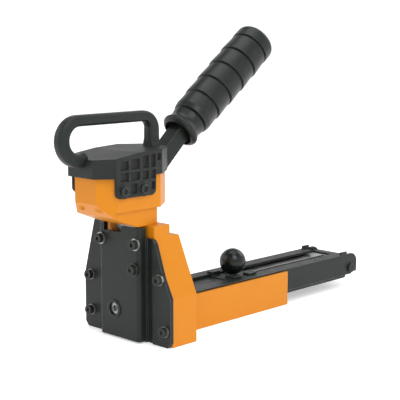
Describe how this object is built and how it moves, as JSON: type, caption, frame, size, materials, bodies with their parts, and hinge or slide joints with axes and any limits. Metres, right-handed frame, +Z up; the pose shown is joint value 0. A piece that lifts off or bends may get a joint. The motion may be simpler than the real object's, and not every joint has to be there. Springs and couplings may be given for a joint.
{
  "type": "carton stapler",
  "caption": "Hand-lever carton closing stapler with orange castings, black D handle, ringed lever grip, clinching anvils and a rear staple magazine.",
  "frame": {"origin": "centre of the bounding box at the underside of the foot", "axes": "+X lateral across the nose, +Y from the nose to the rear of the magazine, +Z up"},
  "size_m": [0.092, 0.3122, 0.2237],
  "materials": {
    "orange_casting": "painted, satin",
    "orange_sheet": "painted, satin",
    "black_plastic": "satin moulded",
    "black_steel": "black satin coat",
    "bright_steel": "zinc plated",
    "spring_steel": "drawn wire"
  },
  "bodies": {
    "frame": {"head_casting": "orange_casting", "lower_body": "orange_casting", "handle_cap": "black_plastic", "top_handle": "black_plastic", "cap_screws": "black_steel", "fulcrum_pin": "bright_steel", "spring_posts": "bright_steel", "wing_left": "black_steel", "wing_right": "black_steel", "centre_cover": "black_steel", "throat_plate": "bright_steel", "adjuster_bush": "black_steel", "adjuster_screw": "bright_steel", "cover_bolts": "black_steel", "cover_washers": "bright_steel", "cover_standoff": "black_steel", "wing_bolts": "black_steel", "wing_washers": "bright_steel", "anvil_pins": "bright_steel", "rail_left": "black_steel", "rail_right": "black_steel", "staple_core": "bright_steel", "magazine_base": "black_steel", "magazine_cover": "orange_sheet", "magazine_spacers": "bright_steel", "rail_pin": "black_steel", "rear_stop": "black_steel", "feed_spring": "spring_steel"},
    "lever": {"lever_arm": "black_steel", "lever_grip": "black_plastic", "drive_pin": "bright_steel"},
    "carriage": {"crosshead": "bright_steel", "driver_blade": "bright_steel", "blade_screws": "bright_steel", "return_springs": "spring_steel"},
    "anvil_l": {"anvil_left": "bright_steel", "roller_left": "bright_steel"},
    "anvil_r": {"anvil_right": "bright_steel", "roller_right": "bright_steel"},
    "pusher": {"pusher_saddle": "black_steel", "saddle_ears": "black_steel", "knob_stud": "bright_steel", "ball_knob": "black_plastic"}
  },
  "joints": [
    {"name": "lever_swing", "type": "hinge", "parent": "frame", "child": "lever", "pos_m": [0, -0.12115, 0.113], "axis": [-1, 0, 0], "range_deg": [0, 38], "stiffness_Nm_per_rad": 1.5, "springref_deg": -34.38},
    {"name": "crosshead_slide", "type": "slide", "parent": "frame", "child": "carriage", "axis": [0, 0, -1], "range_m": [0, 0.02171], "stiffness_N_per_m": 200, "springref_m": -0.01, "deforming": ["return_springs"]},
    {"name": "anvil_right_swing", "type": "hinge", "parent": "frame", "child": "anvil_r", "pos_m": [0.025, -0.08685, 0.031], "axis": [0, 1, 0], "range_deg": [0, 36]},
    {"name": "anvil_left_swing", "type": "hinge", "parent": "frame", "child": "anvil_l", "pos_m": [-0.025, -0.08685, 0.031], "axis": [0, -1, 0], "range_deg": [0, 36]},
    {"name": "pusher_slide", "type": "slide", "parent": "frame", "child": "pusher", "axis": [0, 1, 0], "range_m": [0, 0.1], "stiffness_N_per_m": 40, "springref_m": -0.05}
  ],
  "couplings": [
    {"joint": "crosshead_slide", "follows": "lever_swing", "m_per_rad": 0.032731},
    {"joint": "anvil_right_swing", "follows": "lever_swing", "ratio": 0.94736},
    {"joint": "anvil_left_swing", "follows": "lever_swing", "ratio": 0.94736}
  ]
}
